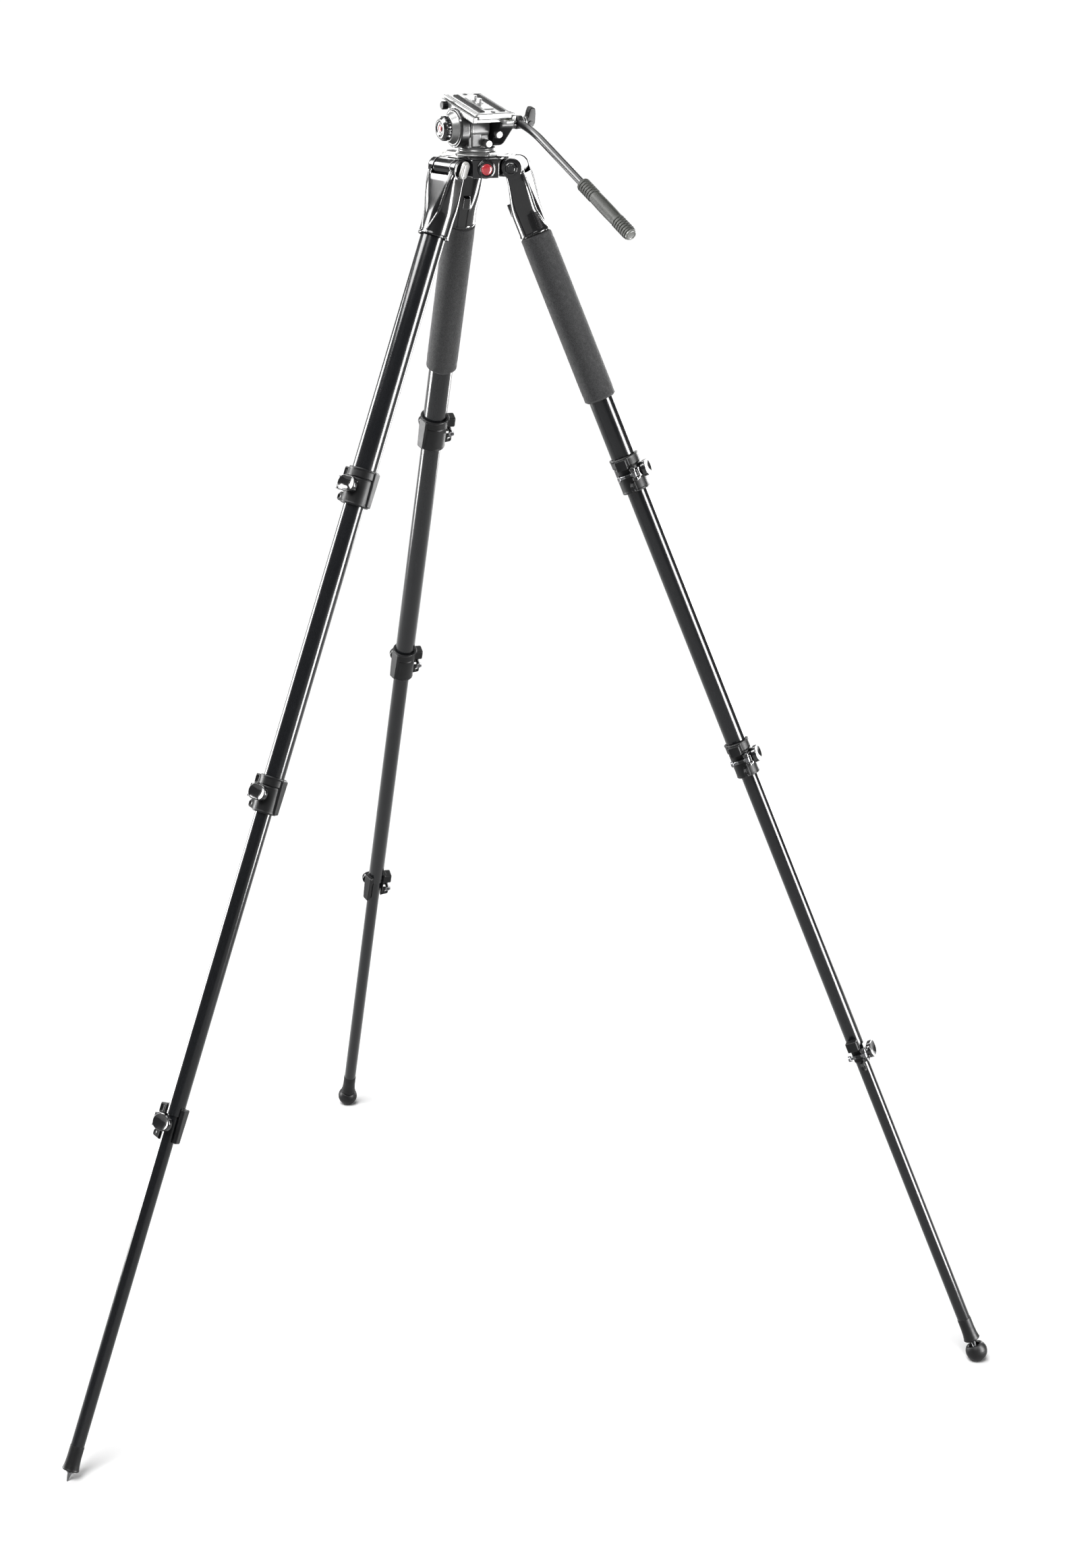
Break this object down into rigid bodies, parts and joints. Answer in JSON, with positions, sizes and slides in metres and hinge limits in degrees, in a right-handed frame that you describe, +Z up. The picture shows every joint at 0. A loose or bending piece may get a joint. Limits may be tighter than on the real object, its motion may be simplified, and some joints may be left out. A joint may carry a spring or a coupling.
{
  "type": "tripod with fluid head",
  "caption": "Folding camera tripod with telescoping tubular legs, flip locks, ball and spike feet, and a pan-and-tilt fluid head with pan bar.",
  "frame": {"origin": "on the floor, at the middle of the box round the three feet and the head; the tripod's vertical axis stands at x = 0, y = -188.5 mm", "axes": "+Z up; +Y towards the foot of rear leg c, which is the side that the lens faces; +X towards leg b, seen from behind the camera"},
  "size_m": [1.3327, 1.1622, 1.7635],
  "materials": {
    "tube_black": "gloss",
    "casting_black": "satin",
    "plastic_black": "satin",
    "lever_black": "gloss",
    "foam_grey": "matte",
    "rubber_black": "matte",
    "button_grey": "satin",
    "steel": "satin",
    "head_grey": "satin",
    "cradle_black": "satin",
    "plate_grey": "satin",
    "knob_silver": "polished",
    "badge_red": "gloss",
    "level_vial": "gloss",
    "bar_black": "satin",
    "grip_olive": "matte"
  },
  "bodies": {
    "spider": {"spider": "casting_black", "leg_pivot_bolts": "steel", "badge": "badge_red", "head_bolt": "steel", "head_base": "head_grey"},
    "leg_a": {"leg_casting_a": "casting_black", "upper_tube_a": "tube_black", "lock1_a": "plastic_black"},
    "section2_a": {"tube2_a": "tube_black", "lock2_a": "plastic_black"},
    "section3_a": {"tube3_a": "tube_black", "lock3_a": "plastic_black"},
    "section4_a": {"tube4_a": "tube_black", "foot_end_a": "rubber_black"},
    "lever1_a": {"lever1_a": "lever_black"},
    "lever2_a": {"lever2_a": "lever_black"},
    "lever3_a": {"lever3_a": "lever_black"},
    "angle_stop_a": {"angle_stop_a": "button_grey"},
    "leg_b": {"leg_casting_b": "casting_black", "upper_tube_b": "tube_black", "lock1_b": "plastic_black", "grip_b": "foam_grey"},
    "section2_b": {"tube2_b": "tube_black", "lock2_b": "plastic_black"},
    "section3_b": {"tube3_b": "tube_black", "lock3_b": "plastic_black"},
    "section4_b": {"tube4_b": "tube_black", "foot_end_b": "rubber_black"},
    "lever1_b": {"lever1_b": "lever_black"},
    "lever2_b": {"lever2_b": "lever_black"},
    "lever3_b": {"lever3_b": "lever_black"},
    "angle_stop_b": {"angle_stop_b": "button_grey"},
    "ball_foot_b": {"ball_foot_b": "rubber_black"},
    "leg_c": {"leg_casting_c": "casting_black", "upper_tube_c": "tube_black", "lock1_c": "plastic_black", "grip_c": "foam_grey"},
    "section2_c": {"tube2_c": "tube_black", "lock2_c": "plastic_black"},
    "section3_c": {"tube3_c": "tube_black", "lock3_c": "plastic_black"},
    "section4_c": {"tube4_c": "tube_black", "foot_end_c": "rubber_black"},
    "lever1_c": {"lever1_c": "lever_black"},
    "lever2_c": {"lever2_c": "lever_black"},
    "lever3_c": {"lever3_c": "lever_black"},
    "angle_stop_c": {"angle_stop_c": "button_grey"},
    "ball_foot_c": {"ball_foot_c": "rubber_black"},
    "pan": {"pan_body": "head_grey"},
    "pan_lock": {"pan_lock": "knob_silver"},
    "cradle": {"tilt_cradle": "cradle_black", "bubble_level": "level_vial"},
    "drag_dial": {"tilt_drag_dial": "plastic_black"},
    "tilt_lock": {"tilt_lock": "knob_silver"},
    "plate": {"sliding_plate": "plate_grey", "plate_screws": "steel"},
    "plate_lock": {"plate_lock_lever": "plastic_black"},
    "pan_bar": {"pan_bar": "bar_black", "pan_bar_grip": "grip_olive"},
    "bar_clamp": {"pan_bar_clamp": "plastic_black"}
  },
  "joints": [
    {"name": "leg_fold_a", "type": "hinge", "parent": "spider", "child": "leg_a", "pos_m": [-0.04677, -0.21554, 1.67241], "axis": [0.5, -0.866, 0], "range_deg": [0, 23.2]},
    {"name": "section2_slide_a", "type": "slide", "parent": "leg_a", "child": "section2_a", "axis": [0.3412, 0.197, 0.9191], "range_m": [0, 0.348]},
    {"name": "lever1_open_a", "type": "hinge", "parent": "leg_a", "child": "lever1_a", "pos_m": [-0.21065, -0.28192, 1.27093], "axis": [-0.3412, -0.197, -0.9191], "range_deg": [0, 100]},
    {"name": "section3_slide_a", "type": "slide", "parent": "section2_a", "child": "section3_a", "axis": [0.3412, 0.197, 0.9191], "range_m": [0, 0.4]},
    {"name": "lever2_open_a", "type": "hinge", "parent": "section2_a", "child": "lever2_a", "pos_m": [-0.35427, -0.36801, 0.8803], "axis": [-0.3412, -0.197, -0.9191], "range_deg": [0, 100]},
    {"name": "section4_slide_a", "type": "slide", "parent": "section3_a", "child": "section4_a", "axis": [0.3412, 0.197, 0.9191], "range_m": [0, 0.42]},
    {"name": "lever3_open_a", "type": "hinge", "parent": "section3_a", "child": "lever3_a", "pos_m": [-0.50859, -0.46, 0.46117], "axis": [-0.3412, -0.197, -0.9191], "range_deg": [0, 100]},
    {"name": "angle_stop_press_a", "type": "slide", "parent": "leg_a", "child": "angle_stop_a", "axis": [-0.5, 0.866, 0], "range_m": [0, 0.0024], "stiffness_N_per_m": 600},
    {"name": "leg_fold_b", "type": "hinge", "parent": "spider", "child": "leg_b", "pos_m": [0.04677, -0.21554, 1.67241], "axis": [0.5, 0.866, 0], "range_deg": [0, 23.2]},
    {"name": "section2_slide_b", "type": "slide", "parent": "leg_b", "child": "section2_b", "axis": [-0.3412, 0.197, 0.9191], "range_m": [0, 0.348]},
    {"name": "lever1_open_b", "type": "hinge", "parent": "leg_b", "child": "lever1_b", "pos_m": [0.1862, -0.32427, 1.27093], "axis": [0.3412, -0.197, -0.9191], "range_deg": [0, 100]},
    {"name": "section3_slide_b", "type": "slide", "parent": "section2_b", "child": "section3_b", "axis": [-0.3412, 0.197, 0.9191], "range_m": [0, 0.4]},
    {"name": "lever2_open_b", "type": "hinge", "parent": "section2_b", "child": "lever2_b", "pos_m": [0.33257, -0.4056, 0.8803], "axis": [0.3412, -0.197, -0.9191], "range_deg": [0, 100]},
    {"name": "section4_slide_b", "type": "slide", "parent": "section3_b", "child": "section4_b", "axis": [-0.3412, 0.197, 0.9191], "range_m": [-0.0198, 0.4002]},
    {"name": "lever3_open_b", "type": "hinge", "parent": "section3_b", "child": "lever3_b", "pos_m": [0.48939, -0.49325, 0.46117], "axis": [0.3412, -0.197, -0.9191], "range_deg": [0, 100]},
    {"name": "angle_stop_press_b", "type": "slide", "parent": "leg_b", "child": "angle_stop_b", "axis": [-0.5, -0.866, 0], "range_m": [0, 0.0024], "stiffness_N_per_m": 600},
    {"name": "ball_foot_turn_b", "type": "hinge", "parent": "section4_b", "child": "ball_foot_b", "pos_m": [0.65311, -0.56561, 0.0155], "axis": [-0.3412, 0.197, 0.9191], "range_deg": [-360, 360]},
    {"name": "leg_fold_c", "type": "hinge", "parent": "spider", "child": "leg_c", "pos_m": [0, -0.13453, 1.67241], "axis": [-1, 0, 0], "range_deg": [0, 23.2]},
    {"name": "section2_slide_c", "type": "slide", "parent": "leg_c", "child": "section2_c", "axis": [0, -0.3939, 0.9191], "range_m": [0, 0.348]},
    {"name": "lever1_open_c", "type": "hinge", "parent": "leg_c", "child": "lever1_c", "pos_m": [0.02445, 0.04059, 1.27093], "axis": [0, 0.3939, -0.9191], "range_deg": [0, 100]},
    {"name": "section3_slide_c", "type": "slide", "parent": "section2_c", "child": "section3_c", "axis": [0, -0.3939, 0.9191], "range_m": [0, 0.4]},
    {"name": "lever2_open_c", "type": "hinge", "parent": "section2_c", "child": "lever2_c", "pos_m": [0.0217, 0.20801, 0.8803], "axis": [0, 0.3939, -0.9191], "range_deg": [0, 100]},
    {"name": "section4_slide_c", "type": "slide", "parent": "section3_c", "child": "section4_c", "axis": [0, -0.3939, 0.9191], "range_m": [-0.0126, 0.4074]},
    {"name": "lever3_open_c", "type": "hinge", "parent": "section3_c", "child": "lever3_c", "pos_m": [0.0192, 0.38765, 0.46117], "axis": [0, 0.3939, -0.9191], "range_deg": [0, 100]},
    {"name": "angle_stop_press_c", "type": "slide", "parent": "leg_c", "child": "angle_stop_c", "axis": [1, 0, 0], "range_m": [0, 0.0024], "stiffness_N_per_m": 600},
    {"name": "ball_foot_turn_c", "type": "hinge", "parent": "section4_c", "child": "ball_foot_c", "pos_m": [0, 0.56561, 0.0155], "axis": [0, -0.3939, 0.9191], "range_deg": [-360, 360]},
    {"name": "pan", "type": "hinge", "parent": "spider", "child": "pan", "pos_m": [0, -0.18854, 1.69641], "axis": [0, 0, 1], "continuous": true},
    {"name": "pan_lock_turn", "type": "hinge", "parent": "pan", "child": "pan_lock", "pos_m": [0.00489, -0.1875, 1.70241], "axis": [0.2079, -0.9781, 0], "range_deg": [0, 270]},
    {"name": "tilt", "type": "hinge", "parent": "pan", "child": "cradle", "pos_m": [0, -0.18854, 1.72241], "axis": [0.9781, 0.2079, 0], "range_deg": [-75, 30]},
    {"name": "drag_dial_turn", "type": "hinge", "parent": "cradle", "child": "drag_dial", "pos_m": [-0.04891, -0.19893, 1.72241], "axis": [-0.9781, -0.2079, 0], "range_deg": [0, 270]},
    {"name": "tilt_lock_turn", "type": "hinge", "parent": "cradle", "child": "tilt_lock", "pos_m": [0.02065, -0.20393, 1.71696], "axis": [0.2048, -0.9633, -0.1736], "range_deg": [0, 270]},
    {"name": "plate_slide", "type": "slide", "parent": "cradle", "child": "plate", "axis": [-0.2048, 0.9633, 0.1736], "range_m": [-0.025, 0.025]},
    {"name": "plate_lock_turn", "type": "hinge", "parent": "cradle", "child": "plate_lock", "pos_m": [-0.03469, -0.16961, 1.74928], "axis": [-0.9781, -0.2079, 0], "range_deg": [0, 180]},
    {"name": "pan_bar_angle", "type": "hinge", "parent": "cradle", "child": "pan_bar", "pos_m": [0.04952, -0.21372, 1.73046], "axis": [0.9781, 0.2079, 0], "range_deg": [-60, 15]},
    {"name": "bar_clamp_turn", "type": "hinge", "parent": "cradle", "child": "bar_clamp", "pos_m": [0.05617, -0.21231, 1.73046], "axis": [0.9781, 0.2079, 0], "range_deg": [-90, 90]}
  ]
}
